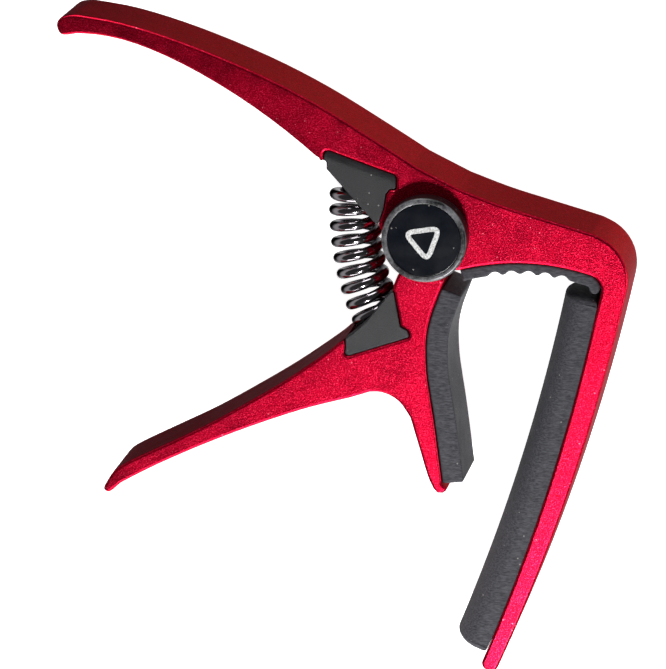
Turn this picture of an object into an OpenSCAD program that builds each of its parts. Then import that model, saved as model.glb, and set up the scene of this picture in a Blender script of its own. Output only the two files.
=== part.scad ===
// Trigger guitar capo: two sprung aluminium arms on one pivot, with rubber pads.
// Millimetres. The capo lies flat on its back cap: X is to the right, Y is up the handle side,
// Z is across the arms, and the origin is the centre of the back cap's outer rim.

/* [Arms] */
// Width of both arms, front face to back face
arm_w = 13; // [10:0.5:18]
// Pivot to the end of the upper handle
handle_reach = 56.6; // [45:0.2:72]
// Height of the upper handle's end above the pivot
handle_rise = 32.1; // [24:0.1:40]
// Thickness of the upper handle near its end
handle_tip_t = 2.6; // [2:0.1:4]
// Height of the upper arm's back over the pivot
hub_rise = 9.6; // [9:0.1:12]
// Pivot to the end of the lower handle
lever_reach = 50.2; // [42:0.2:60]
// Depth of the lower handle's end below the pivot
lever_drop = 42.4; // [38:0.1:50]
// Thickness of the lower handle near its end
lever_tip_t = 3.1; // [2:0.1:4]

/* [String arm] */
// Pivot to the sharp corner where the string arm turns down
bridge_len = 31.5; // [28:0.1:38]
// Drop of that corner below the pivot
bridge_drop = 1.6; // [0.5:0.1:3]
// Outer rounding of the corner
corner_r = 7.2; // [5:0.1:9]
// Lean of the string arm at the corner, in degrees
string_lean = 11.8; // [9:0.1:14]
// Fingerboard radius that the string pad is curved to
fret_r = 305; // [184:1:510]
// Thickness of the string arm at the corner
string_root_t = 3.8; // [3:0.1:5]
// Thickness of the string arm at its end
string_tip_t = 2.6; // [2:0.1:4]
// Radius of the arch under the bridge
arch_r = 34.6; // [28:0.2:45]

/* [Pads] */
// Length of the string pad along the arm
string_pad_len = 57.6; // [45:0.1:66]
// Full thickness of the string pad
string_pad_t = 5.5; // [4:0.1:7]
// Height of the string pad's straight sides
string_pad_side = 1.7; // [1:0.1:3]
// Thickness of the ribbed edge pad
edge_pad_t = 1.8; // [1.2:0.1:2.4]
// Number of hollows in the edge pad
rib_count = 5; // [3:1:6]
// Distance between hollows
rib_pitch = 2.72; // [2.3:0.02:3]
// Depth of each hollow
rib_depth = 0.55; // [0.3:0.05:0.8]
// Thickness of the neck pad
neck_pad_t = 3.3; // [2.5:0.1:4.5]
// Length of the neck jaw below the pivot
jaw_len = 40.2; // [34:0.1:48]
// How far the pads stand in from each face of the arms
pad_inset = 0.5; // [0.2:0.1:1.5]

/* [Pivot] */
// Thickness of the lower arm's tongue
tongue_t = 6; // [4:0.1:7.5]
// Radius of the pivot bolt's shank
bolt_r = 2.5; // [1.8:0.1:3]
// Wall of the pivot bush
bush_wall = 1; // [0.7:0.1:1.4]
// Radius of the screw that closes the bolt
screw_r = 1.5; // [1:0.1:1.6]
// Radius of both pivot heads
head_r = 4.2; // [3.6:0.1:5]
// Height of both pivot heads
head_h = 1.4; // [1:0.1:1.7]
// Thickness of each thrust washer
washer_t = 0.5; // [0.3:0.05:1]

/* [Caps] */
// Radius of each cap where it meets the arm
cap_r = 6.5; // [6.4:0.05:8]
// Thickness of the cap's face under the badge
cap_face_t = 0.9; // [0.7:0.05:1]
// Width of the cap's rim round the badge
rim_w = 0.95; // [0.9:0.05:1.6]
// Thickness of the badge disc
badge_t = 0.3; // [0.2:0.05:0.4]
// How far the badge sits below the rim
badge_sink = 0.12; // [0.05:0.01:0.3]
// Space between a pivot head and the cap's face
head_room = 0.23; // [0.1:0.01:0.5]

/* [Spring] */
// Outer diameter of the spring's coils
spring_d = 8; // [7:0.1:8.2]
// Diameter of the spring wire
wire_d = 1.6; // [1.2:0.05:1.8]
// Number of open coils
coil_count = 8; // [6:1:8]
// Radius of the bow in the spring's line
spring_bow = 41; // [38:0.5:46]
// Space between the coils and each side cheek of the spring seats
coil_room = 0.25; // [0.2:0.05:0.8]

/* [Clearances] */
// Running clearance on the pivot shank, on the radius
run_gap = 0.03; // [0.01:0.01:0.1]
// Clearance of a pressed or screwed fit, on the radius
press_gap = 0.01; // [0.005:0.005:0.02]
// Glue line behind a pad or badge
glue_gap = 0.05; // [0.02:0.01:0.1]
// Clearance of a cap over its pivot head, on the radius
snap_gap = 0.1; // [0.05:0.01:0.2]
// Clearance round a spring seat in its slot
slot_gap = 0.08; // [0.04:0.01:0.15]
// Side play of each thrust washer
side_play = 0.05; // [0.02:0.01:0.1]
// Clearance between parts that swing past each other
swing_gap = 0.4; // [0.3:0.05:0.6]

/* [Hidden] */
$fn = 64;

// Colours
crimson = "#b3122f";
rubber = "#3a3a3c";
moulded = "#2c2c2e";
plated = "#c8c6c8";
black = "#101012";
brass = "#b59a57";

// Heights across the arms
cap_h = head_h + head_room + cap_face_t + glue_gap + badge_t + badge_sink;
arm_back = cap_h;
arm_front = arm_back + arm_w;
mid = arm_back + arm_w / 2;
fork_w = tongue_t + 2 * (washer_t + side_play);
lobe_r = cap_r - 0.3;
bush_r = bolt_r + bush_wall;
badge_r = cap_r - rim_w;

// Spring seats, bolt and screw
seat_inset = 0.15;
seat_cheek_t = (arm_w - spring_d) / 2 - seat_inset - coil_room;
boss_h = 2;
boss_play = 0.25;
bolt_end = 0.2;
screw_len = 8;
bore_len = screw_len + 1;
hex_r = 1.45;

// Plane geometry helpers
function unit(v) = v / norm(v);
function left_of(v) = [-v[1], v[0]];
function turn(p, a) = [p[0] * cos(a) - p[1] * sin(a), p[0] * sin(a) + p[1] * cos(a)];
function arc(c, r, a0, a1, n) = [for (i = [0:n]) c + r * turn([1, 0], a0 + (a1 - a0) * i / n)];
function reversed(p) = [for (i = [len(p) - 1:-1:0]) p[i]];
function between(p) = [for (i = [1:len(p) - 2]) p[i]];
function at(p, i) = p[min(max(i, 0), len(p) - 1)];
function bend(a, b, c, d, t) = 0.5 * (2 * b + (c - a) * t + (2 * a - 5 * b + 4 * c - d) * t * t
                               + (3 * b - a - 3 * c + d) * t * t * t);
// A smooth curve through every point of p, with n steps between each two
function curve(p, n = 4) = [for (i = [0:len(p) - 2]) for (j = [0:n - 1])
                             bend(at(p, i - 1), p[i], p[i + 1], at(p, i + 2), j / n),
                             p[len(p) - 1]];
// The arc that rounds corner b, between a and c, to radius r
function corner(a, b, c, r, n = 5) =
    let (u = unit(a - b), v = unit(c - b), half = acos(u * v) / 2,
         m = b + unit(u + v) * r / sin(half), k = r / tan(half),
         s = b + u * k - m, e = b + v * k - m,
         sweep = 180 - 2 * half, way = (s[0] * e[1] - s[1] * e[0]) > 0 ? 1 : -1)
    [for (i = [0:n]) m + turn(s, way * sweep * i / n)];
// A closed outline whose points are [x, y, rounding]
function rounded(p) = [for (i = [0:len(p) - 1])
    let (a = p[(i + len(p) - 1) % len(p)], b = p[i], c = p[(i + 1) % len(p)])
    for (q = b[2] > 0 ? corner([a[0], a[1]], [b[0], b[1]], [c[0], c[1]], b[2]) : [[b[0], b[1]]]) q];
// An open line moved sideways by d, to its left when d is positive
function beside(p, d) = [for (i = [0:len(p) - 1]) p[i] + left_of(unit(at(p, i + 1) - at(p, i - 1))) * d];
// A closed outline, listed anticlockwise, grown by d
function grown(p, d) = [for (i = [0:len(p) - 1])
    let (n = len(p), u = unit(p[i] - p[(i + n - 1) % n]), v = unit(p[(i + 1) % n] - p[i]),
         w = left_of(u) + left_of(v))
    p[i] - w * 2 * d / (w * w)];

module slab(outline, z0, z1) {
    translate([0, 0, z0]) linear_extrude(z1 - z0) polygon(outline);
}

module pillar(r, z0, z1) {
    translate([0, 0, z0]) cylinder(r = r, h = z1 - z0);
}

// Upper handle: its back rises from the hub to the end, and it thickens towards the hub
handle_shape = [[-0.947, 1], [-0.82, 0.951], [-0.657, 0.833], [-0.465, 0.649], [-0.3, 0.449],
                [-0.136, 0.207], [-0.028, 0.04]];
handle_back = curve([for (s = handle_shape)
                     [s[0] * handle_reach, hub_rise + s[1] * (handle_rise - hub_rise)]]);
lip = [-15.7, 10.5];
handle_root_t = lookup(lip[0], handle_back) - lip[1];
swell_from = -0.83 * handle_reach;
handle_curl = 0.35;
function swell(x) = min(1, max(0, (x - swell_from) / (lip[0] - swell_from)));
function curl(x) = max(0, (-x / handle_reach - 0.86) / 0.087);
function handle_t(x) = handle_tip_t + (handle_root_t - handle_tip_t) * pow(swell(x), 1.7)
                       + handle_curl * pow(curl(x), 2);
handle_under = [for (p = handle_back) if (p[0] < lip[0] - 0.5) p - [0, handle_t(p[0])]];
handle_end = between(curve([handle_under[0], [-handle_reach + 1.4, handle_rise - 3.22],
                            [-handle_reach + 0.6, handle_rise - 3.1],
                            [-handle_reach + 0.12, handle_rise - 2.4],
                            [-handle_reach, handle_rise - 1.5], [-handle_reach + 0.5, handle_rise - 0.68],
                            [-handle_reach + 1.5, handle_rise - 0.2], handle_back[0]], 3));

// Bridge, outer corner and the outside of the string arm
bridge_shape = [[0.15, 0.24], [0.343, 0.48], [0.536, 0.672], [0.733, 0.862], [0.8, 0.93]];
bridge_fall = hub_rise + bridge_drop - 2.2;
bridge_back = curve([for (s = bridge_shape) [s[0] * bridge_len, hub_rise - s[1] * bridge_fall]]);
bridge_corner = [bridge_len, -bridge_drop];
string_start = bridge_corner + 6.2 * turn([0, -1], -string_lean);
string_outer_r = fret_r + string_pad_t + string_root_t;
string_centre = string_start - string_outer_r * turn([1, 0], -string_lean);
pad_top = string_lean + 0.45;
pad_sweep = string_pad_len / fret_r * 180 / PI;
pad_end = pad_top + pad_sweep;
string_end = pad_end + 0.42;
string_outer = arc(string_centre, string_outer_r, -string_lean, -string_end, 26);

// Inside of the string arm: an arc about its own centre, which thins the arm towards its end
pad_mid = pad_top + pad_sweep / 2;
string_mid_t = (string_root_t + string_tip_t) / 2;
taper = (string_root_t - string_tip_t) * 180 / PI / pad_sweep;
pad_centre = string_centre + taper * turn([0, -1], -pad_mid);
seat_mid = string_centre + (string_outer_r - string_mid_t) * turn([1, 0], -pad_mid);
string_inner_r = norm(seat_mid - pad_centre);
taper_turn = atan(taper / string_inner_r);
string_inner = arc(pad_centre, string_inner_r, taper_turn - string_end, taper_turn - pad_top, 26);
string_cap_r = 1.1;
string_cap = concat(corner(string_outer[25], string_outer[26], string_inner[0], string_cap_r),
                    corner(string_outer[26], string_inner[0], string_inner[1], string_cap_r));

// Arch under the bridge, which the edge pad lines, and the inner corner
arch_crown_shift = 0.85;
arch_crown_drop = 3.7;
arch_left = 4;
arch_to_corner = 7.5;
arch_centre = [bridge_len / 2 - arch_crown_shift, -arch_r - arch_crown_drop];
arch_end = acos((bridge_len - arch_to_corner - arch_centre[0]) / arch_r);
arch = arc(arch_centre, arch_r, arch_end, acos((arch_left - arch_centre[0]) / arch_r), 20);
inner_corner_r = 2.3;
inner_corner_drop = 3.1;
inner_vertex = arch[0] + inner_corner_drop * turn([0, -1], arch_end);
inner_corner = corner(string_inner[26], inner_vertex, arch[0], inner_corner_r, 8);

// Cheeks round the pivot, from the arch round to the spring seat
lobe = arc([0, 0], lobe_r, -58, -178, 24);
tongue_r = lobe_r - swing_gap;
pocket_r = lobe_r + swing_gap;

// Spring seat of the upper arm: a foot in a slot, with a cheek down each side of the spring
upper_seat = rounded([[-15.8, 12.75, 0.7], [-15.75, 11.2, 0.3], [-15.35, 10.7, 0], [-15.35, 9.7, 0.25],
                      [-8.1, 1.8, 0.2], [-7.5, 1.4, 0.2], [-6.65, 3.9, 0], [-6.3, 6.2, 0.4],
                      [-5.7, 7, 0.3], [-4.75, 6.9, 0.4], [-4.75, 9.05, 0.8]]);

// Spring seat of the lower arm, the same idea turned over
lower_seat = rounded([[-12.75, -19.45, 0.6], [-2.55, -15.85, 0.45], [-2.95, -14.8, 0.4],
                      [-4.05, -14.3, 0.3], [-5.05, -8.9, 0.2], [-5.5, -8.9, 0.2], [-9, -13.4, 0],
                      [-10.7, -15.1, 0], [-12.45, -16.5, 0.25], [-12.4, -17.8, 0.2]]);

// The spring's line is an arc about spring_middle, and angles along it grow towards the lower arm
spring_middle = [spring_bow - 12, 2.3];
seat_face = [-5.15, 25.2];
wire_sweep = wire_d / spring_bow * 180 / PI;
end_coil = 0.6;
coil_sweep = (seat_face[1] - seat_face[0] - wire_sweep - 0.1) / (coil_count + end_coil);
first_coil = seat_face[0] + wire_sweep / 2 + 0.05 + end_coil * coil_sweep / 2;
coil_r = (spring_d - wire_d) / 2;
function spring_line(a) = spring_middle - spring_bow * turn([1, 0], a);
// How far along its line the wire is after t turns, with the end turns closed up
function coil_at(t) = first_coil + coil_sweep * (t < 0 ? t / 2 : t < coil_count ? t
                                                 : coil_count + (t - coil_count) / 2);
function coil_point(t) =
    let (a = coil_at(t), c = spring_line(a), o = -turn([1, 0], a) * coil_r * cos(360 * t))
    [c[0] + o[0], c[1] + o[1], mid - coil_r * sin(360 * t)];

// Lower handle, the crook under it, and the neck jaw
lever_tip = [-lever_reach, -lever_drop];
lever_root = [-13.65, -17.35];
lever_shape = [[0.989, 0.946], [0.953, 0.866], [0.895, 0.807], [0.743, 0.691], [0.567, 0.557],
               [0.394, 0.406], [0.22, 0.243], [0.051, 0.063], [0, 0]];
function share(from, to, s) = [from[0] + s[0] * (to[0] - from[0]), from[1] + s[1] * (to[1] - from[1])];
lever_back = curve([for (s = lever_shape) share(lever_root, lever_tip, s)]);
lever_base_t = 2.7;
crook_root = [-11.75, -25.4 + lever_base_t - lever_tip_t];
lever_under_shape = [[0.932, 0.92], [0.808, 0.757], [0.645, 0.568], [0.482, 0.397], [0.321, 0.244],
                     [0.16, 0.108], [0, 0]];
lever_under = curve([for (s = lever_under_shape) share(crook_root, lever_tip, s)]);
lever_end = between(curve([lever_back[0], lever_tip + [-0.05, 0.45], lever_tip + [0.2, 0.05],
                           lever_tip + [0.8, -0.15], lever_tip + [1.5, 0.3], lever_under[0]], 3));
crook = curve([[-8.7, -24.75], [-7.1, -24.7], [-5.5, -25.2], [-3.95, -26.3], [-2.45, -28.5]]);
crook_end = crook[len(crook) - 1];
jaw_front = curve([for (s = [[-1.31, 0.33], [-0.73, 0.494], [-0.17, 0.656], [0.46, 0.817], [1.2, 0.948]])
                   [s[0], crook_end[1] - s[1] * (jaw_len + crook_end[1])]]);
jaw_end = [[1.8, -jaw_len], [2.6, -jaw_len + 0.02], [3.1, -jaw_len + 0.4], [3.15, -jaw_len + 0.95]];
jaw_seat = curve([for (s = [[2.75, 0.166], [1.53, 0.247], [0.47, 0.326], [-0.08, 0.41], [0.02, 0.521],
                            [0.55, 0.619], [1.08, 0.7], [1.72, 0.814], [2.25, 0.915], [2.5, 0.965]])
                  [s[0], -s[1] * jaw_len]]);
neck_line = [for (i = [2:len(jaw_seat) - 1]) jaw_seat[i]];

// The edge pad starts short of the pivot, and its hollows sit just right of the arch's crown
edge_pad_from = 4.5;
rib_shift = 0.5;
pad_step = 0.02;

module upper_arm() {
    color(crimson) difference() {
        slab(concat(reversed(handle_under), handle_end, handle_back, bridge_back,
                    corner(bridge_back[len(bridge_back) - 1], bridge_corner, string_start, corner_r, 10),
                    between(string_outer), string_cap, between(string_inner), inner_corner,
                    between(arch), lobe, [[-7.2, 0.9], [-8.3, 3.3], [-12, 8], lip]),
             arm_back, arm_front);
        slab(grown(upper_seat, slot_gap), arm_back - 1, arm_front + 1);
        pillar(pocket_r, mid - fork_w / 2, mid + fork_w / 2);
        pillar(bolt_r + run_gap, arm_back - 1, arm_front + 1);
    }
}

module lower_arm() {
    color(crimson) difference() {
        slab(concat(arc([0, 0], tongue_r, -55, 235, 40),
                    [[-4.5, -6.4], [-5.1, -7.9], [-7, -13], [-13, -16.8]],
                    reversed(lever_back), lever_end, lever_under, crook, jaw_front, jaw_end,
                    reversed(jaw_seat)),
             arm_back, arm_front);
        slab(grown(lower_seat, slot_gap), arm_back - 1, arm_front + 1);
        pillar(pocket_r, arm_back - 1, mid - tongue_t / 2);
        pillar(pocket_r, mid + tongue_t / 2, arm_front + 1);
        pillar(bush_r + press_gap, arm_back, arm_front);
    }
}

// Half of the string pad's section: a straight side, then a dome
function dome(w, side, t) = [for (i = [0:12]) let (a = 180 - 15 * i)
                             [-side - (t - side) * sin(a), cos(a) * w / 2]];

module string_pad() {
    w = arm_w - 2 * pad_inset;
    back = string_inner_r - glue_gap;
    section = concat([[back, -w / 2]], [for (p = dome(w, string_pad_side, string_pad_t)) p + [back, 0]],
                     [[back, w / 2]]);
    color(rubber) translate([pad_centre[0], pad_centre[1], mid]) rotate(taper_turn - pad_end)
        rotate_extrude(angle = pad_sweep, $fn = 720) polygon(section);
}

module edge_pad() {
    line = concat([for (p = reversed(arch)) if (p[0] > edge_pad_from) p], reversed(inner_corner),
                  [pad_centre + string_inner_r * turn([1, 0], taper_turn - pad_top + pad_step)]);
    first_rib = 90 + ((rib_count - 1) / 2 * rib_pitch - rib_shift) / arch_r * 180 / PI;
    rib_r = (pow(rib_pitch * 0.35, 2) + pow(rib_depth, 2)) / (2 * rib_depth);
    color(rubber) difference() {
        slab(concat(beside(line, -glue_gap), reversed(beside(line, -glue_gap - edge_pad_t))),
             arm_back + pad_inset, arm_front - pad_inset);
        for (i = [0:rib_count - 1]) {
            hollow = arch_centre + (arch_r - edge_pad_t + rib_depth - rib_r)
                     * turn([1, 0], first_rib - i * rib_pitch / arch_r * 180 / PI);
            translate([hollow[0], hollow[1], arm_back]) cylinder(r = rib_r, h = arm_w);
        }
    }
}

module neck_pad() {
    color(rubber) slab(concat(beside(neck_line, glue_gap), reversed(beside(neck_line, neck_pad_t))),
                       arm_back + pad_inset, arm_front - pad_inset);
}

// A spring seat: two cheeks, the block between them on one side of the spring's end, and a boss
module spring_seat(outline, face, side) {
    z0 = arm_back + seat_inset;
    z1 = arm_front - seat_inset;
    foot = spring_line(face);
    slab(outline, z0, z0 + seat_cheek_t);
    slab(outline, z1 - seat_cheek_t, z1);
    intersection() {
        slab(outline, z0, z1);
        translate([foot[0], foot[1], z0]) rotate(face) translate([-30, side > 0 ? 0 : -30, 0])
            cube([60, 30, z1 - z0]);
    }
    translate([foot[0], foot[1], mid]) rotate(face) rotate([90 * side, 0, 0])
        cylinder(r = coil_r - wire_d / 2 - boss_play, h = boss_h);
}

module upper_spring_seat() {
    color(moulded) spring_seat(upper_seat, seat_face[0], 1);
}

module lower_spring_seat() {
    color(moulded) spring_seat(lower_seat, seat_face[1], -1);
}

// The wire, swept as rings of wire_sides points along the coils
module spring() {
    steps = 20;
    wire_sides = 10;
    rings = round((coil_count + 2 * end_coil) * steps);
    faces_at = [for (i = [0:rings - 1]) for (j = [0:wire_sides - 1])
                let (a = i * wire_sides + j, b = i * wire_sides + (j + 1) % wire_sides)
                [a, b, b + wire_sides, a + wire_sides]];
    points = [for (i = [0:rings])
              let (t = -end_coil + i / steps, p = coil_point(t),
                   ahead = coil_point(t + 0.01) - coil_point(t - 0.01),
                   u = ahead / norm(ahead), c = spring_line(coil_at(t)),
                   r = p - [c[0], c[1], mid], n0 = r - u * (r * u), n = n0 / norm(n0), b = cross(u, n))
              for (j = [0:wire_sides - 1])
              p + wire_d / 2 * (n * cos(360 * j / wire_sides) + b * sin(360 * j / wire_sides))];
    color(plated) polyhedron(points, concat([[for (j = [wire_sides - 1:-1:0]) j]], faces_at,
                                            [[for (j = [0:wire_sides - 1]) rings * wire_sides + j]]));
}

// The bolt's head and shank come from the front face, and its screw closes it from the back
module pivot_bolt() {
    color(plated) difference() {
        union() {
            pillar(head_r, arm_front, arm_front + head_h);
            pillar(bolt_r, arm_back + bolt_end, arm_front);
        }
        pillar(screw_r, arm_back, arm_back + bore_len);
    }
}

module pivot_screw() {
    color(plated) difference() {
        union() {
            pillar(head_r, arm_back - head_h, arm_back);
            pillar(screw_r - press_gap, arm_back, arm_back + screw_len);
        }
        translate([0, 0, arm_back - head_h - 1]) cylinder(r = hex_r, h = 2, $fn = 6);
    }
}

module pivot_bush() {
    color(brass) difference() {
        pillar(bush_r, mid - tongue_t / 2, mid + tongue_t / 2);
        pillar(bolt_r + run_gap, arm_back, arm_front);
    }
}

module washer(z) {
    color(plated) difference() {
        pillar(tongue_r - 0.6, z - washer_t / 2, z + washer_t / 2);
        pillar(bolt_r + snap_gap, z - 1, z + 1);
    }
}

module front_washer() washer(mid + (tongue_t + washer_t) / 2 + side_play);

module back_washer() washer(mid - (tongue_t + washer_t) / 2 - side_play);

// A cap, drawn standing on the arm's face at height zero
module cap() {
    recess = badge_t + badge_sink + glue_gap;
    rim = corner([cap_r, 0], [cap_r - 0.15, cap_h], [0, cap_h], 0.45);
    color(black) difference() {
        rotate_extrude() polygon(concat([[0, 0], [cap_r, 0]], rim, [[0, cap_h]]));
        pillar(badge_r + glue_gap, cap_h - recess, cap_h + 1);
        pillar(head_r + snap_gap, -1, head_h + head_room);
    }
}

module badge() {
    color(black) pillar(badge_r, cap_h - badge_sink - badge_t, cap_h - badge_sink);
}

module on_front() translate([0, 0, arm_front]) children();
module on_back() translate([0, 0, arm_back]) rotate([180, 0, 0]) children();

module front_cap() on_front() cap();
module back_cap() on_back() cap();
module front_badge() on_front() badge();
module back_badge() on_back() badge();

upper_arm();
string_pad();
edge_pad();
upper_spring_seat();
spring();
pivot_bolt();
pivot_screw();
front_washer();
back_washer();
front_cap();
back_cap();
front_badge();
back_badge();
lower_arm();
neck_pad();
lower_spring_seat();
pivot_bush();
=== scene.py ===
import math

import bmesh
import bpy
from mathutils import Matrix, Vector


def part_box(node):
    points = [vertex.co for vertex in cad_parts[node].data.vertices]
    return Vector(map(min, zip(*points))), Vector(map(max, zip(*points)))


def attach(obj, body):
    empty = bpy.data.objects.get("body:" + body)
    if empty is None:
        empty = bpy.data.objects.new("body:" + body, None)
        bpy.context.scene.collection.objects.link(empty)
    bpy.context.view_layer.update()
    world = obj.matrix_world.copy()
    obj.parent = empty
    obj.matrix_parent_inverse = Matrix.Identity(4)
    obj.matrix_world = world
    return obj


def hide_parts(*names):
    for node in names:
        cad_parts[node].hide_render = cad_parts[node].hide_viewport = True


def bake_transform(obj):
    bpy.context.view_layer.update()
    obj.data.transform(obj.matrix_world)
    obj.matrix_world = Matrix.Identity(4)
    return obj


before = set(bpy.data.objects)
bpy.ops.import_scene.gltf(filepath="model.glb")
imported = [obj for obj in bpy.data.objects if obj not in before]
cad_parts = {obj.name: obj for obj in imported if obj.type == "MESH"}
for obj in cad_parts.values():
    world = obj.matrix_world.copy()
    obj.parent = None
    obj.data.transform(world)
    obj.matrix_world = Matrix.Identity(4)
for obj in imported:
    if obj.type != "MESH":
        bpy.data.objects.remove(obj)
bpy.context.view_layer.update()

bl_info = {
    "name": "Trigger capo",
    "version": (1, 0, 0),
    "blender": (4, 5, 0),
    "location": "3D View > Sidebar > Capo",
    "description": "Finishes the guitar capo's arms, pads, spring and caps, and sets up its studio",
    "category": "Object",
}


def linear(code):
    """An sRGB hex colour as linear red, green and blue."""
    parts = [int(code[i:i + 2], 16) / 255 for i in (1, 3, 5)]
    return [p / 12.92 if p <= 0.04045 else ((p + 0.055) / 1.055) ** 2.4 for p in parts]


def length(name, description, default):
    """A length property, with its default in metres."""
    return bpy.props.FloatProperty(name=name, description=description, default=default, min=0,
                                   precision=5, unit="LENGTH", subtype="DISTANCE")


def colour(name, description, code):
    """A colour property, with its default as an sRGB hex value."""
    return bpy.props.FloatVectorProperty(name=name, description=description, default=linear(code),
                                         size=3, min=0, max=1, subtype="COLOR")


class CapoSizes(bpy.types.PropertyGroup):
    """Sizes of the details that the CAD model leaves plain."""
    arm_edge: length("Arm edges", "Rounding of both arms' edges", 0.00045)
    pad_edge: length("Pad edges", "Rounding of the moulded pads' edges", 0.00035)
    pad_end: length("String pad ends", "Rounding of the string pad's two ends", 0.0009)
    pad_side: length("String pad side", "Height of the string pad's straight sides", 0.0017)
    seat_margin: length("Seat margin", "Width of the sloped margin along the upper seat's slot", 0.0011)
    seat_slope: length("Seat slope", "How far that margin slopes back", 0.0003)
    seat_edge: length("Seat edges", "Rounding of the spring seats' edges", 0.00018)
    wire: length("Spring wire", "Diameter of the spring wire", 0.0016)
    coil: length("Coil diameter", "Outer diameter of the spring's coils", 0.008)
    bow: length("Spring bow", "Radius of the bow in the spring's line", 0.041)
    turns: bpy.props.IntProperty(name="Open coils", description="Coils between the closed ends",
                                 default=8, min=3, max=12)
    cap_round: length("Cap rounding", "Rounding of the cap's outer rim", 0.00045)
    cap_rim: length("Cap rim", "Width of the cap's rim round its badge", 0.0009)
    cap_inner: length("Cap inner rounding", "Rounding of the rim's inner edge", 0.00014)
    badge_depth: length("Badge recess", "Depth of the recess that holds the badge", 0.00042)
    badge_edge: length("Badge edge", "Rounding of the badge's edge", 0.0001)
    mark: length("Badge outline", "Height of the plectrum outline on the badge", 0.0062)
    mark_line: length("Outline width", "Width of the plectrum outline's line", 0.00075)
    mark_thickness: length("Outline thickness", "Thickness of the plectrum outline's ink", 0.00003)


class CapoColours(bpy.types.PropertyGroup):
    """Colours of the finishes."""
    crimson: colour("Crimson", "Anodised aluminium", "#d80a36")
    # Deep and pale crimson follow the blast pits' relief: painted shade in the hollows and painted highlight
    # on the crests, over a random grain tone
    crimson_pit_shade: colour("Deep crimson", "Hollows of the blasted surface", "#96041c")
    crimson_crest_highlight: colour("Pale crimson", "Crests of the blasted surface", "#ff3a60")
    rubber: colour("Rubber", "Pads", "#47474c")
    nylon: colour("Nylon", "Spring seats", "#1f1f22")
    nickel: colour("Nickel", "Spring wire", "#a29da2")
    cap: colour("Cap", "Cap's plastic", "#121214")
    cap_worn: colour("Worn rim", "Scuffs on the cap's rim", "#7c7c80")
    badge: colour("Badge", "Badge disc", "#0c1018")
    ink: colour("Outline", "Plectrum outline", "#dcdcd8")
    steel: colour("Steel", "Bolt, screw and washers", "#b9babd")
    brass: colour("Brass", "Pivot bush", "#b08a48")
    floor: colour("Floor", "Studio floor", "#f4f4f4")


# ---- modelling helpers ----

# Heights and places closer than this, in metres, count as the same
SAME = 2e-5


def nothing_selected():
    """Leaves edit mode and deselects every object."""
    if bpy.context.object and bpy.context.object.mode != "OBJECT":
        bpy.ops.object.mode_set(mode="OBJECT")
    bpy.ops.object.select_all(action="DESELECT")


def edit(piece):
    """Starts edit mode on one piece alone, with nothing in it selected."""
    nothing_selected()
    piece.select_set(True)
    bpy.context.view_layer.objects.active = piece
    bpy.ops.object.mode_set(mode="EDIT")
    bpy.ops.mesh.select_all(action="DESELECT")


def pick(piece, kind, test):
    """Selects the faces, edges or verts that pass the test, in edit mode."""
    bpy.ops.mesh.select_mode(type={"faces": "FACE", "edges": "EDGE", "verts": "VERT"}[kind])
    mesh = bmesh.from_edit_mesh(piece.data)
    mesh.normal_update()
    for part in getattr(mesh, kind):
        part.select_set(bool(test(part)))
    mesh.select_flush_mode()
    bmesh.update_edit_mesh(piece.data)


def copy_of(node, name):
    """A piece with the CAD node's shape, its doubles merged and its flat faces whole."""
    nothing_selected()
    piece = bpy.data.objects.new(name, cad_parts[node].data.copy())
    piece.data.materials.clear()
    bpy.context.collection.objects.link(piece)
    edit(piece)
    bpy.ops.mesh.select_all(action="SELECT")
    bpy.ops.mesh.remove_doubles(threshold=2e-6)
    bpy.ops.mesh.select_all(action="SELECT")
    bpy.ops.mesh.dissolve_limited(angle_limit=math.radians(0.04))
    bpy.ops.object.mode_set(mode="OBJECT")
    return piece


def square_corners(piece, width, where=lambda face: True):
    """Draws together the outline edges that are too short for both their corners to be rounded by the width.

    The rounding would cross itself at such an edge.
    """
    def bend(before, after, up):
        return math.copysign(math.tan(before.angle(after) / 2), before.cross(after).dot(up))

    edit(piece)
    for _ in range(3):
        mesh = bmesh.from_edit_mesh(piece.data)
        mesh.normal_update()
        mesh.edges.index_update()
        short = set()
        for face in mesh.faces:
            if abs(face.normal.z) < 0.99 or not where(face):
                continue
            for loop in face.loops:
                run = [loop.link_loop_prev, loop, loop.link_loop_next, loop.link_loop_next.link_loop_next]
                before, along, after = [end.vert.co - start.vert.co for start, end in zip(run, run[1:])]
                ends = bend(before, along, face.normal) + bend(along, after, face.normal)
                if along.length < width * 1.05 * ends:
                    short.add(loop.edge.index)
        pick(piece, "edges", lambda edge: edge.index in short)
        if short:
            bpy.ops.mesh.edge_collapse()
    bpy.ops.object.mode_set(mode="OBJECT")


def soften(piece, width, segments, sharper_than=40, where=lambda edge: True):
    """Rounds the piece's edges that are sharper than an angle in degrees and pass the test."""
    edit(piece)
    limit = math.radians(sharper_than)
    pick(piece, "edges", lambda e: len(e.link_faces) == 2 and e.calc_face_angle() > limit and where(e))
    bpy.ops.mesh.bevel(offset=width, offset_type="OFFSET", segments=segments, profile=0.5,
                       affect="EDGES", clamp_overlap=False, miter_outer="SHARP")
    bpy.ops.object.mode_set(mode="OBJECT")


def settle(piece, name):
    """Names a new piece and applies its place, so that its object sits at the origin."""
    nothing_selected()
    piece.select_set(True)
    bpy.context.view_layer.objects.active = piece
    bpy.ops.object.transform_apply(location=True, rotation=True, scale=True)
    piece.name = name
    return piece


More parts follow.
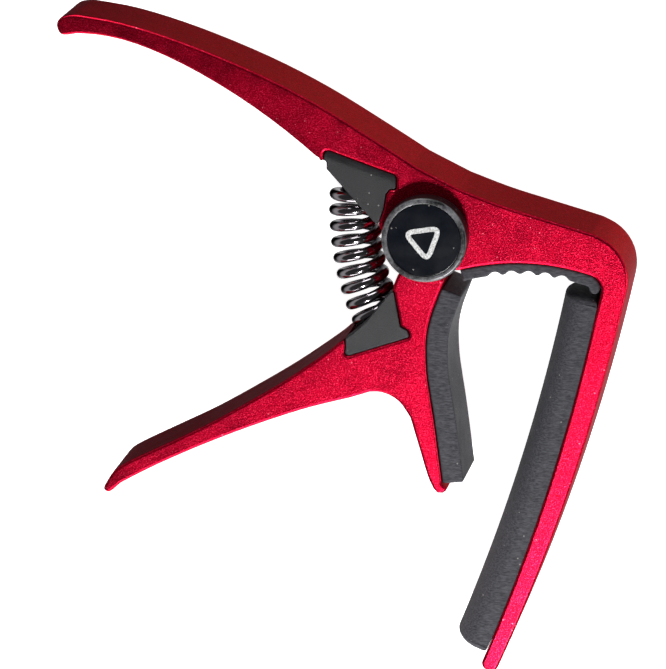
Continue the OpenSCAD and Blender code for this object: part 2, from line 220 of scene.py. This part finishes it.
def finish_off(piece, material, body, nodes=(), smooth=35):
    """Smooths a piece, gives it its material and slot, and lets it ride on its body."""
    nothing_selected()
    piece.select_set(True)
    bpy.context.view_layer.objects.active = piece
    bpy.ops.object.shade_smooth_by_angle(angle=math.radians(smooth))
    # Flat faces keep their own normals, so that only the rounded edges shade round
    piece.modifiers.new("flat_faces", "WEIGHTED_NORMAL").keep_sharp = True
    bpy.ops.object.modifier_apply(modifier="flat_faces")
    piece.data.materials.clear()
    piece.data.materials.append(material)
    if body:
        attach(piece, body)
    if nodes:
        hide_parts(*nodes)


# ---- materials ----

def blank(name, metallic, roughness):
    """A new material and its shader."""
    material = bpy.data.materials.new(name)
    material.use_nodes = True
    shader = material.node_tree.nodes["Principled BSDF"]
    shader.inputs["Metallic"].default_value = metallic
    shader.inputs["Roughness"].default_value = roughness
    return material, material.node_tree, shader


def add(tree, kind, values=None, links=None, stops=None, **settings):
    """Adds a node with its settings, values, colour stops and links."""
    made = tree.nodes.new(kind)
    for key, value in settings.items():
        setattr(made, key, value)
    if stops:
        ramp = made.color_ramp.elements
        for stop, (place, shade) in zip(ramp, (stops[0], stops[-1])):
            stop.position, stop.color = place, (*shade, 1)
        for place, shade in stops[1:-1]:
            ramp.new(place).color = (*shade, 1)
    for socket, value in (values or {}).items():
        made.inputs[socket].default_value = value
    for socket, source in (links or {}).items():
        tree.links.new(source, made.inputs[socket])
    return made


def anodised_aluminium(colours):
    """Cast aluminium, bead blasted and dyed in its anodic film."""
    # The blasting gives a fine grain, coloured darker in its pits as painted shade and paler on its crests as
    # painted highlight, with painted glints for its sparkle, and the clear film gives pale highlights on
    # edges
    material, tree, shader = blank("anodised_aluminium", 1.0, 0.42)
    place = add(tree, "ShaderNodeTexCoord").outputs["Object"]
    # Bead pits are about 0.1 mm across, drawn at about 0.2 mm so that they show
    pits = add(tree, "ShaderNodeTexNoise", {"Scale": 5200, "Detail": 2, "Roughness": 0.7}, {"Vector": place})
    haze = add(tree, "ShaderNodeTexNoise", {"Scale": 260, "Detail": 2, "Roughness": 0.5}, {"Vector": place})
    # The pits' noise also drives the bump, so this ramp is painted shade in the hollows and painted highlight
    # on the crests, over the grain's random tone
    dye_grain_and_relief_shade = add(tree, "ShaderNodeValToRGB", links={"Fac": pits.outputs["Fac"]},
              stops=[(0.38, colours.crimson_pit_shade), (0.56, colours.crimson), (0.72, colours.crimson_crest_highlight)])
    # Painted glints: pale pink flecks every millimetre or so in the base colour, standing in for the blasted
    # surface's sparkle
    glint_cells = add(tree, "ShaderNodeTexVoronoi", {"Scale": 1400, "Randomness": 1.0}, {"Vector": place})
    chosen = add(tree, "ShaderNodeSeparateColor", links={"Color": glint_cells.outputs["Color"]})
    bright = add(tree, "ShaderNodeMath", {1: 0.93}, {0: chosen.outputs["Red"]}, operation="GREATER_THAN")
    small = add(tree, "ShaderNodeMath", {1: 0.17}, {0: glint_cells.outputs["Distance"]}, operation="LESS_THAN")
    painted_glint = add(tree, "ShaderNodeMath", links={0: bright.outputs[0], 1: small.outputs[0]},
                operation="MULTIPLY")
    dye_with_painted_glints = add(tree, "ShaderNodeMix", {"B": (*linear("#f06078"), 1)},
                 {"Factor": painted_glint.outputs[0], "A": dye_grain_and_relief_shade.outputs["Color"]}, data_type="RGBA")
    tree.links.new(dye_with_painted_glints.outputs[2], shader.inputs["Base Color"])
    rough = add(tree, "ShaderNodeMapRange", {"From Min": 0.3, "From Max": 0.7, "To Min": 0.3, "To Max": 0.4},
                {"Value": haze.outputs["Fac"]})
    tree.links.new(rough.outputs["Result"], shader.inputs["Roughness"])
    bump = add(tree, "ShaderNodeBump", {"Strength": 0.45, "Distance": 0.00006},
               {"Height": pits.outputs["Fac"]})
    tree.links.new(bump.outputs["Normal"], shader.inputs["Normal"])
    shader.inputs["Specular Tint"].default_value = (*linear("#a81c50"), 1)
    shader.inputs["Coat Weight"].default_value = 0.07
    shader.inputs["Coat Roughness"].default_value = 0.22
    shader.inputs["Coat IOR"].default_value = 1.6
    return material


def specked(name, base, roughness, grain, depth, specks, drawn=1.0):
    """A moulded surface with grain and dust specks, from its base colour and its grain's size in metres.

    The grain is drawn that many times as long along X, for flow lines.
    """
    material, tree, shader = blank(name, 0.0, roughness)
    place = add(tree, "ShaderNodeTexCoord").outputs["Object"]
    lengthened = add(tree, "ShaderNodeMapping", {"Scale": (1 / drawn, 1, 1)},
                     {"Vector": place}).outputs["Vector"]
    texture = add(tree, "ShaderNodeTexNoise", {"Scale": 1 / grain, "Detail": 3, "Roughness": 0.6},
                  {"Vector": lengthened})
    patches = add(tree, "ShaderNodeTexNoise", {"Scale": 300, "Detail": 2, "Roughness": 0.5},
                  {"Vector": place})
    shade = add(tree, "ShaderNodeValToRGB", links={"Fac": texture.outputs["Fac"]},
                stops=[(0.3, [c * 0.5 for c in base]), (0.7, [min(1, c * 1.5) for c in base])])
    dust = add(tree, "ShaderNodeTexVoronoi", {"Scale": 1100, "Randomness": 1.0}, {"Vector": place})
    chosen = add(tree, "ShaderNodeSeparateColor", links={"Color": dust.outputs["Color"]})
    rare = add(tree, "ShaderNodeMath", {1: 1 - specks}, {0: chosen.outputs["Green"]},
               operation="GREATER_THAN")
    small = add(tree, "ShaderNodeMath", {1: 0.13}, {0: dust.outputs["Distance"]}, operation="LESS_THAN")
    speck = add(tree, "ShaderNodeMath", links={0: rare.outputs[0], 1: small.outputs[0]}, operation="MULTIPLY")
    dusty = add(tree, "ShaderNodeMix", {"B": (*linear("#8f8c88"), 1)},
                {"Factor": speck.outputs[0], "A": shade.outputs["Color"]}, data_type="RGBA")
    tree.links.new(dusty.outputs[2], shader.inputs["Base Color"])
    rough = add(tree, "ShaderNodeMapRange",
                {"From Min": 0.3, "From Max": 0.7, "To Min": roughness - 0.07, "To Max": roughness + 0.07},
                {"Value": patches.outputs["Fac"]})
    tree.links.new(rough.outputs["Result"], shader.inputs["Roughness"])
    bump = add(tree, "ShaderNodeBump", {"Strength": 0.6, "Distance": depth},
               {"Height": texture.outputs["Fac"]})
    tree.links.new(bump.outputs["Normal"], shader.inputs["Normal"])
    return material, tree, shader


def silicone_rubber(colours):
    """Moulded silicone rubber."""
    # Matte with a soft bloom at grazing angles and faint flow lines across it, and it holds dust
    material, tree, shader = specked("silicone_rubber", colours.rubber, 0.7, 0.0002, 0.00006, 0.1, drawn=4)
    shader.inputs["Specular IOR Level"].default_value = 0.2
    shader.inputs["IOR"].default_value = 1.43
    shader.inputs["Sheen Weight"].default_value = 0.04
    shader.inputs["Sheen Roughness"].default_value = 0.4
    return material


def moulded_nylon(colours):
    """Glass-filled nylon, moulded in a spark-eroded tool."""
    # A fine even grain breaks up its satin shine
    material, tree, shader = specked("moulded_nylon", colours.nylon, 0.5, 0.00018, 0.00008, 0.2)
    shader.inputs["IOR"].default_value = 1.53
    return material


def cap_plastic(colours):
    """ABS, moulded black, with its rim scuffed grey by handling."""
    # The wall stays dark and smooth, and the rim shows short bright scratches
    material, tree, shader = specked("abs_plastic", colours.cap, 0.32, 0.00012, 0.00001, 0.04)
    shader.inputs["IOR"].default_value = 1.54
    place = add(tree, "ShaderNodeTexCoord").outputs["Object"]
    normal = add(tree, "ShaderNodeNewGeometry").outputs["Normal"]
    facing = add(tree, "ShaderNodeSeparateXYZ", links={"Vector": normal})
    outwards = add(tree, "ShaderNodeMath", links={0: facing.outputs["Z"]}, operation="ABSOLUTE")
    turned = add(tree, "ShaderNodeMapRange", {"From Min": 0.25, "From Max": 0.8},
                 {"Value": outwards.outputs[0]})
    scuffs = add(tree, "ShaderNodeTexNoise", {"Scale": 1600, "Detail": 5, "Roughness": 0.7},
                 {"Vector": place})
    broad = add(tree, "ShaderNodeTexNoise", {"Scale": 170, "Detail": 1, "Roughness": 0.5}, {"Vector": place})
    both = add(tree, "ShaderNodeMath", links={0: scuffs.outputs["Fac"], 1: broad.outputs["Fac"]},
               operation="ADD")
    worn = add(tree, "ShaderNodeMapRange", {"From Min": 0.95, "From Max": 1.3}, {"Value": both.outputs[0]})
    amount = add(tree, "ShaderNodeMath", links={0: turned.outputs["Result"], 1: worn.outputs["Result"]},
                 operation="MULTIPLY")
    base = shader.inputs["Base Color"].links[0].from_socket
    scuffed = add(tree, "ShaderNodeMix", {"B": (*colours.cap_worn, 1)},
                  {"Factor": amount.outputs[0], "A": base},
                  data_type="RGBA")
    tree.links.new(scuffed.outputs[2], shader.inputs["Base Color"])
    return material


def badge_film(colours):
    """Printed polyester film under a clear gloss."""
    # Blue-black and glossy, with fine dust on it
    material, tree, shader = specked("printed_film", colours.badge, 0.2, 0.0002, 0.000002, 0.3)
    shader.inputs["IOR"].default_value = 1.5
    return material


def ink(colours):
    """Screen-printed enamel ink."""
    # Off-white, flat and slightly uneven
    return specked("enamel_ink", colours.ink, 0.45, 0.00025, 0.000006, 0.0)[0]


def metal(name, base, roughness, grain):
    """A plain metal with fine marks: base colour, grain in metres."""
    material, tree, shader = blank(name, 1.0, roughness)
    place = add(tree, "ShaderNodeTexCoord").outputs["Object"]
    marks = add(tree, "ShaderNodeTexNoise", {"Scale": 1 / grain, "Detail": 3, "Roughness": 0.6},
                {"Vector": place})
    shade = add(tree, "ShaderNodeValToRGB", links={"Fac": marks.outputs["Fac"]},
                stops=[(0.3, [c * 0.85 for c in base]), (0.7, list(base))])
    tree.links.new(shade.outputs["Color"], shader.inputs["Base Color"])
    rough = add(tree, "ShaderNodeMapRange",
                {"From Min": 0.3, "From Max": 0.7, "To Min": roughness * 0.75, "To Max": roughness * 1.3},
                {"Value": marks.outputs["Fac"]})
    tree.links.new(rough.outputs["Result"], shader.inputs["Roughness"])
    bump = add(tree, "ShaderNodeBump", {"Strength": 0.3, "Distance": 0.000004},
               {"Height": marks.outputs["Fac"]})
    tree.links.new(bump.outputs["Normal"], shader.inputs["Normal"])
    return material


# ---- operators ----

class Finisher(bpy.types.Operator):
    """Shared by the capo's operators: gives each its sizes and colours."""
    bl_options = {"REGISTER", "UNDO"}

    def execute(self, context):
        self.make(context.scene.capo_sizes, context.scene.capo_colours)
        return {"FINISHED"}


def on_face(*heights):
    """A test that passes edges and faces lying in one of the planes at these heights."""
    return lambda part: any(all(abs(v.co.z - z) < SAME for v in part.verts) for z in heights)


class CAPO_OT_arms(Finisher):
    """Round both arms' edges and anodise them"""
    bl_idname = "capo.arms"
    bl_label = "Arms"

    def make(self, sizes, colours):
        finish = anodised_aluminium(colours)
        for node, body in (("upper_arm", "upper"), ("lower_arm", "lower")):
            low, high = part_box(node)
            arm = copy_of(node, node + "_anodised")
            square_corners(arm, sizes.arm_edge)
            soften(arm, sizes.arm_edge, 4, 50, on_face(low.z, high.z))
            finish_off(arm, finish, body, [node], 30)


def circle_through(a, b, c):
    """Centre and radius of the circle through three points in the XY plane."""
    d = 2 * (a.x * (b.y - c.y) + b.x * (c.y - a.y) + c.x * (a.y - b.y))
    squares = [p.x * p.x + p.y * p.y for p in (a, b, c)]
    x = (squares[0] * (b.y - c.y) + squares[1] * (c.y - a.y) + squares[2] * (a.y - b.y)) / d
    y = (squares[0] * (c.x - b.x) + squares[1] * (a.x - c.x) + squares[2] * (b.x - a.x)) / d
    centre = Vector((x, y, a.z))
    return centre, (a - centre).length


class CAPO_OT_string_pad(Finisher):
    """Mould the domed string pad along its arc"""
    bl_idname = "capo.string_pad"
    bl_label = "String pad"

    def make(self, sizes, colours):
        low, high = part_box("string_pad")
        middle = (low.z + high.z) / 2
        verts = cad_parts["string_pad"].data.vertices
        crown = sorted((v.co for v in verts if abs(v.co.z - middle) < SAME), key=lambda p: p.y)
        centre, crown_r = circle_through(crown[0], crown[len(crown) // 2], crown[-1])
        start, end = [math.atan2(p.y - centre.y, p.x - centre.x) for p in (crown[0], crown[-1])]
        back_r = max((v.co.xy - centre.xy).length for v in verts)
        width, height = high.z - low.z, back_r - crown_r
        # Half an ellipse for the dome, then the two straight sides are extruded back to the arm
        nothing_selected()
        bpy.ops.mesh.primitive_circle_add(vertices=64, radius=1, fill_type="NOTHING")
        pad = bpy.context.object
        edit(pad)
        bpy.ops.mesh.select_all(action="SELECT")
        bpy.ops.transform.resize(value=(height - sizes.pad_side, width / 2, 1))
        pick(pad, "verts", lambda v: v.co.x > 1e-7)
        bpy.ops.mesh.delete(type="VERT")
        pick(pad, "verts", lambda v: v.co.x > -1e-7)
        bpy.ops.mesh.extrude_region_move(TRANSFORM_OT_translate={"value": (sizes.pad_side, 0, 0)})
        pick(pad, "verts", lambda v: v.co.x > sizes.pad_side * 0.9)
        bpy.ops.mesh.edge_face_add()
        # The section is stood up across the arc at its start, and spun along it
        bpy.ops.mesh.select_all(action="SELECT")
        bpy.ops.transform.rotate(value=math.pi / 2, orient_axis="X", center_override=(0, 0, 0))
        bpy.ops.transform.translate(value=(back_r - sizes.pad_side, 0, 0))
        bpy.ops.object.mode_set(mode="OBJECT")
        pad.location = centre
        pad.rotation_euler = (0, 0, start)
        settle(pad, "string_pad_domed")
        edit(pad)
        bpy.ops.mesh.select_all(action="SELECT")
        bpy.ops.mesh.spin(steps=72, angle=start - end, center=centre, axis=(0, 0, 1))
        bpy.ops.mesh.select_all(action="SELECT")
        bpy.ops.mesh.remove_doubles(threshold=1e-7)
        bpy.ops.mesh.select_all(action="DESELECT")
        bpy.ops.mesh.select_mode(type="EDGE")
        bpy.ops.mesh.select_non_manifold()
        bpy.ops.mesh.fill_holes(sides=0)
        bpy.ops.mesh.select_all(action="SELECT")
        bpy.ops.mesh.normals_make_consistent(inside=False)
        bpy.ops.object.mode_set(mode="OBJECT")
        # Round the two ends, whose faces look along the arc
        def looks_along(face):
            out = face.calc_center_median() - centre
            return abs(face.normal.dot(Vector((-out.y, out.x, 0)).normalized())) > 0.9

        soften(pad, sizes.pad_end, 5, 50, lambda e: any(looks_along(f) for f in e.link_faces))
        finish_off(pad, bpy.data.materials["silicone_rubber"], "upper", ["string_pad"], 40)


class CAPO_OT_small_pads(Finisher):
    """Round the edge pad's ribs and the neck pad"""
    bl_idname = "capo.small_pads"
    bl_label = "Edge pad and neck pad"

    # Where the ripple starts and ends from the pad's left end, and the depth behind it that stays unchanged
    ribs = (0.0025, 0.022)
    back_t = 0.0009
    # Outline edges between these lengths are the hollows' and crests'
    rib_step = (0.0005, 0.001)
    smoothings = 10

    def make(self, sizes, colours):
        rubber = bpy.data.materials["silicone_rubber"]
        edge_pad = copy_of("edge_pad", "edge_pad_ribbed")
        low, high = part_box("edge_pad")
        # The crests are cut as finely as the hollows, and both are smoothed into one ripple
        edit(edge_pad)
        pick(edge_pad, "edges", lambda e: on_face(low.z, high.z)(e)
             and self.rib_step[0] < e.calc_length() < self.rib_step[1])
        bpy.ops.mesh.subdivide(number_cuts=6)
        rib_zone = (low.x + self.ribs[0], low.x + self.ribs[1])
        pick(edge_pad, "verts",
             lambda v: rib_zone[0] < v.co.x < rib_zone[1] and v.co.y < high.y - self.back_t)
        bpy.ops.mesh.vertices_smooth(factor=0.5, repeat=self.smoothings, zaxis=False)
        bpy.ops.object.mode_set(mode="OBJECT")
        soften(edge_pad, sizes.pad_edge, 3, 60, on_face(low.z, high.z))
        finish_off(edge_pad, rubber, "upper", ["edge_pad"], 45)
        neck_pad = copy_of("neck_pad", "neck_pad_moulded")
        soften(neck_pad, sizes.pad_edge, 4, 30)
        finish_off(neck_pad, rubber, "lower", ["neck_pad"], 30)


class CAPO_OT_seats(Finisher):
    """Round the spring seats, and slope the upper one's margin along its slot"""
    bl_idname = "capo.seats"
    bl_label = "Spring seats"

    # Which way the upper seat's slot faces, in the plane of the arms
    slot = math.radians(71.5)

    def make(self, sizes, colours):
        finish = moulded_nylon(colours)
        for node, body in (("upper_spring_seat", "upper"), ("lower_spring_seat", "lower")):
            low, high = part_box(node)
            seat = copy_of(node, node + "_moulded")
            square_corners(seat, sizes.seat_edge, on_face(low.z, high.z))
            if body == "upper":
                self.slope_margin(seat, sizes, low.z, high.z)
            near = sizes.seat_slope + SAME
            soften(seat, sizes.seat_edge, 3, 50, lambda e: all(v.co.z > high.z - near for v in e.verts)
                   or all(v.co.z < low.z + near for v in e.verts))
            finish_off(seat, finish, body, [node], 30)

    def slope_margin(self, seat, sizes, back, front):
        """Slopes the margins of the seat's back and front faces towards its slot."""
        out = Vector((math.cos(self.slot), math.sin(self.slot), 0))
        line = max(v.co.dot(out) for v in seat.data.vertices) - sizes.seat_margin
        edit(seat)
        bpy.ops.mesh.select_all(action="SELECT")
        bpy.ops.mesh.bisect(plane_co=out * line, plane_no=out)
        for face_z, drop in ((front, -sizes.seat_slope), (back, sizes.seat_slope)):
            pick(seat, "verts", lambda v: abs(v.co.z - face_z) < SAME and v.co.dot(out) > line + SAME)
            bpy.ops.transform.translate(value=(0, 0, drop))
        bpy.ops.object.mode_set(mode="OBJECT")


class CAPO_OT_spring(Finisher):
    """Wind the bowed spring between its seats"""
    bl_idname = "capo.spring"
    bl_label = "Spring"

    # How far left of the pivot the spring's line passes and how high it bends about, in metres
    reach = 0.012
    bend_y = 0.0023
    # The angles of its two seats on that line, and how far short of each seat the wire stops
    seats = (math.radians(-5.15), math.radians(25.2))
    seat_gap = math.radians(0.05)
    # The part of a turn at each end that is wound closed, and the points in a turn
    closed_end = 0.6
    steps = 40

    def make(self, sizes, colours):
        low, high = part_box("spring")
        middle = Vector((sizes.bow - self.reach, self.bend_y, (low.z + high.z) / 2))
        coil_r = (sizes.coil - sizes.wire) / 2
        wire_angle = sizes.wire / sizes.bow
        room = self.seats[1] - self.seats[0] - wire_angle - 2 * self.seat_gap
        pitch = room / (sizes.turns + self.closed_end)
        first = self.seats[0] + wire_angle / 2 + self.seat_gap + self.closed_end * pitch / 2
        points = []
        for i in range(round((sizes.turns + 2 * self.closed_end) * self.steps) + 1):
            turn = i / self.steps - self.closed_end
            # Both closed ends rise half as fast as the open coils
            open_turn = min(max(turn, 0), sizes.turns)
            angle = first + pitch * (open_turn + (turn - open_turn) / 2)
            out = Vector((-math.cos(angle), -math.sin(angle), 0))
            swing = 2 * math.pi * turn
            points.append(middle + out * (sizes.bow + coil_r * math.cos(swing))
                          - Vector((0, 0, coil_r * math.sin(swing))))
        nothing_selected()
        line = bpy.data.curves.new("spring_wire", "CURVE")
        line.dimensions = "3D"
        line.bevel_depth = sizes.wire / 2
        line.bevel_resolution = 6
        line.use_fill_caps = True
        spline = line.splines.new("POLY")
        spline.points.add(len(points) - 1)
        for point, place in zip(spline.points, points):
            point.co = (*place, 1)
        spring = bpy.data.objects.new("spring_wound", line)
        bpy.context.collection.objects.link(spring)
        spring.select_set(True)
        bpy.context.view_layer.objects.active = spring
        bpy.ops.object.convert(target="MESH")
        spring = bpy.context.object
        edit(spring)
        bpy.ops.mesh.select_all(action="SELECT")
        bpy.ops.mesh.remove_doubles(threshold=1e-7)
        bpy.ops.object.mode_set(mode="OBJECT")
        finish_off(spring, metal("nickel_plate", colours.nickel, 0.13, 0.0003), None,
                   ["spring"], 50)
        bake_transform(spring)


def disc(name, radius, bottom, top):
    """A cylinder on the pivot's axis between two heights."""
    nothing_selected()
    bpy.ops.mesh.primitive_cylinder_add(vertices=128, radius=radius, depth=top - bottom,
                                        location=(0, 0, (bottom + top) / 2))
    return settle(bpy.context.object, name)


def outer_face(piece, outwards):
    """Selects the flat face that looks furthest outwards along Z."""
    furthest = max(v.co.z * outwards for v in piece.data.vertices)
    edit(piece)
    pick(piece, "faces", lambda f: f.normal.z * outwards > 0.9
         and abs(f.calc_center_median().z * outwards - furthest) < 1e-5)


class CAPO_OT_caps(Finisher):
    """Turn the two caps with their rims, and sink the badges into them"""
    bl_idname = "capo.caps"
    bl_label = "Caps and badges"

    def make(self, sizes, colours):
        plastic = cap_plastic(colours)
        film = badge_film(colours)
        for side, outwards in (("front", 1), ("back", -1)):
            low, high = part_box(side + "_cap")
            cap = disc(side + "_cap_moulded", high.x, low.z, high.z)
            outer_face(cap, outwards)
            bpy.ops.mesh.inset(thickness=sizes.cap_rim, depth=0)
            bpy.ops.mesh.extrude_region_move(
                TRANSFORM_OT_translate={"value": (0, 0, -outwards * sizes.badge_depth)})
            bpy.ops.object.mode_set(mode="OBJECT")
            rim = high.z if outwards > 0 else low.z
            mid_rim = high.x - sizes.cap_rim / 2
            soften(cap, sizes.cap_round, 6, 60,
                   lambda e: on_face(rim)(e) and e.verts[0].co.xy.length > mid_rim)
            soften(cap, sizes.cap_inner, 3, 60,
                   lambda e: on_face(rim)(e) and e.verts[0].co.xy.length < mid_rim)
            finish_off(cap, plastic, "upper", [side + "_cap"], 40)
            low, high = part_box(side + "_badge")
            badge = disc(side + "_badge_film", high.x, low.z, high.z)
            soften(badge, sizes.badge_edge, 2, 60, on_face(high.z if outwards > 0 else low.z))
            finish_off(badge, film, "upper", [side + "_badge"], 40)


class CAPO_OT_marks(Finisher):
    """Print a plain plectrum outline on each badge"""
    bl_idname = "capo.marks"
    bl_label = "Badge outlines"

    def make(self, sizes, colours):
        paint = ink(colours)
        for side, outwards in (("front", 1), ("back", -1)):
            low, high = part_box(side + "_badge")
            face = high.z if outwards > 0 else low.z
            nothing_selected()
            bpy.ops.mesh.primitive_circle_add(vertices=3, radius=sizes.mark * 0.62, fill_type="NGON",
                                              location=(0, 0, face), rotation=(0, 0, math.radians(190)))
            mark = settle(bpy.context.object, side + "_plectrum_outline")
            edit(mark)
            bpy.ops.mesh.select_all(action="SELECT")
            bpy.ops.mesh.bevel(offset=sizes.mark * 0.34, segments=10, profile=0.55, affect="VERTICES")
            bpy.ops.mesh.select_all(action="SELECT")
            bpy.ops.mesh.inset(thickness=sizes.mark_line, depth=0)
            bpy.ops.mesh.delete(type="FACE")
            bpy.ops.mesh.select_all(action="SELECT")
            bpy.ops.mesh.extrude_region_move(
                TRANSFORM_OT_translate={"value": (0, 0, outwards * sizes.mark_thickness)})
            bpy.ops.mesh.select_all(action="SELECT")
            bpy.ops.mesh.normals_make_consistent(inside=False)
            bpy.ops.object.mode_set(mode="OBJECT")
            finish_off(mark, paint, "upper", (), 40)


class CAPO_OT_pivot(Finisher):
    """Give the bolt, screw, washers and bush their metals"""
    bl_idname = "capo.pivot"
    bl_label = "Pivot"

    def make(self, sizes, colours):
        steel = metal("zinc_plated_steel", colours.steel, 0.32, 0.0002)
        brass = metal("turned_brass", colours.brass, 0.28, 0.0002)
        for node in ("pivot_bolt", "pivot_screw", "front_washer", "back_washer", "pivot_bush"):
            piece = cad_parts[node]
            piece.data.materials.clear()
            piece.data.materials.append(brass if node == "pivot_bush" else steel)


class CAPO_OT_stage(Finisher):
    """Lay the floor and set the camera and the soft lights"""
    bl_idname = "capo.stage"
    bl_label = "Stage"

    # The camera looks at a point just left of and below the pivot, from this far away
    aim = (-0.0143, -0.0159, 0.016)
    distance = 0.758
    elevation = math.radians(14.483)
    heading = math.radians(9.806)
    lens = 270.27
    # Each light's name, the way to it, its distance, its width in metres and its watts
    lights = (("key", (0.16, -0.56, 0.81), 0.31, 0.055, 0.9),
              ("low_front", (-0.1, -0.97, 0.12), 0.5, 0.3, 1.9),
              ("right", (0.95, -0.25, 0.15), 0.5, 0.25, 0.8), ("ridge", (-0.17, 0.93, 0.25), 0.5, 0.25, 0.9))

    def make(self, sizes, colours):
        nothing_selected()
        bpy.ops.mesh.primitive_plane_add(size=6)
        floor = bpy.context.object
        floor.name = "floor"
        material, tree, shader = blank("painted_board", 0.0, 0.7)
        shader.inputs["Base Color"].default_value = (*colours.floor, 1)
        shader.inputs["Emission Color"].default_value = (1, 1, 1, 1)
        shader.inputs["Emission Strength"].default_value = 0.93
        floor.data.materials.append(material)
        floor.visible_glossy = False
        self.camera()
        for lamp in self.lights:
            self.light(*lamp)
        self.studio()
        bpy.context.scene.view_settings.view_transform = "Standard"

    def studio(self):
        """Surroundings dark overhead, pale at the horizon, and brighter below to the right and front."""
        world = bpy.data.worlds.new("studio")
        bpy.context.scene.world = world
        world.use_nodes = True
        tree = world.node_tree
        way = add(tree, "ShaderNodeTexCoord").outputs["Generated"]
        parts = add(tree, "ShaderNodeSeparateXYZ", links={"Vector": way})
        side = add(tree, "ShaderNodeVectorMath", {1: (1.2, -0.6, 0.0)}, {0: way}, operation="DOT_PRODUCT")
        below = add(tree, "ShaderNodeMath", {1: 0.6}, {0: side.outputs["Value"]}, operation="ADD",
                    use_clamp=True)
        above = add(tree, "ShaderNodeValToRGB", links={"Fac": parts.outputs["Z"]},
                    stops=[(0.0, (0.6,) * 3), (0.2, (0.6,) * 3), (0.36, (0.06,) * 3), (1.0, (0.045,) * 3)])
        under = add(tree, "ShaderNodeMapRange", {"From Min": -0.1, "From Max": -0.45},
                    {"Value": parts.outputs["Z"]})
        both = add(tree, "ShaderNodeMix",
                   links={"Factor": under.outputs["Result"], "A": above.outputs["Color"],
                                                 "B": below.outputs[0]}, data_type="RGBA")
        tree.links.new(both.outputs[2], tree.nodes["Background"].inputs["Color"])

    def camera(self):
        """A long lens, raised and turned a little from straight above the capo's face."""
        turn = Matrix.Rotation(self.heading, 4, "Y") @ Matrix.Rotation(-self.elevation, 4, "X")
        camera = bpy.data.objects.new("camera", bpy.data.cameras.new("camera"))
        bpy.context.collection.objects.link(camera)
        camera.data.lens = self.lens
        camera.data.sensor_width = 36
        camera.data.sensor_fit = "HORIZONTAL"
        camera.data.clip_start = 0.01
        camera.matrix_world = Matrix.Translation(self.aim) @ turn @ Matrix.Translation((0, 0, self.distance))
        bpy.context.scene.camera = camera

    def light(self, name, towards, distance, size, power):
        """A soft square light that shines on the capo from a direction."""
        lamp = bpy.data.lights.new(name, "AREA")
        lamp.size = size
        lamp.energy = power
        light = bpy.data.objects.new(name, lamp)
        bpy.context.collection.objects.link(light)
        place = Vector(self.aim) + Vector(towards).normalized() * distance
        light.location = place
        light.rotation_euler = (place - Vector(self.aim)).to_track_quat("Z", "Y").to_euler()


OPERATORS = (CAPO_OT_arms, CAPO_OT_string_pad, CAPO_OT_small_pads, CAPO_OT_seats, CAPO_OT_spring,
             CAPO_OT_caps, CAPO_OT_marks, CAPO_OT_pivot, CAPO_OT_stage)


class CAPO_PT_panel(bpy.types.Panel):
    """The capo's sizes, colours and steps"""
    bl_idname = "CAPO_PT_panel"
    bl_label = "Capo"
    bl_space_type = "VIEW_3D"
    bl_region_type = "UI"
    bl_category = "Capo"

    def draw(self, context):
        for group in (context.scene.capo_sizes, context.scene.capo_colours):
            box = self.layout.box()
            for name in group.__annotations__:
                box.prop(group, name)
        for operator in OPERATORS:
            self.layout.operator(operator.bl_idname)


CLASSES = (CapoSizes, CapoColours, *OPERATORS, CAPO_PT_panel)


def register():
    for made in CLASSES:
        bpy.utils.register_class(made)
    bpy.types.Scene.capo_sizes = bpy.props.PointerProperty(type=CapoSizes)
    bpy.types.Scene.capo_colours = bpy.props.PointerProperty(type=CapoColours)


def unregister():
    del bpy.types.Scene.capo_colours
    del bpy.types.Scene.capo_sizes
    for made in reversed(CLASSES):
        bpy.utils.unregister_class(made)


def main():
    register()
    silicone_rubber(bpy.context.scene.capo_colours)
    bpy.ops.capo.arms()
    bpy.ops.capo.string_pad()
    bpy.ops.capo.small_pads()
    bpy.ops.capo.seats()
    bpy.ops.capo.spring()
    bpy.ops.capo.caps()
    bpy.ops.capo.marks()
    bpy.ops.capo.pivot()
    bpy.ops.capo.stage()


if __name__ == "__main__":
    main()
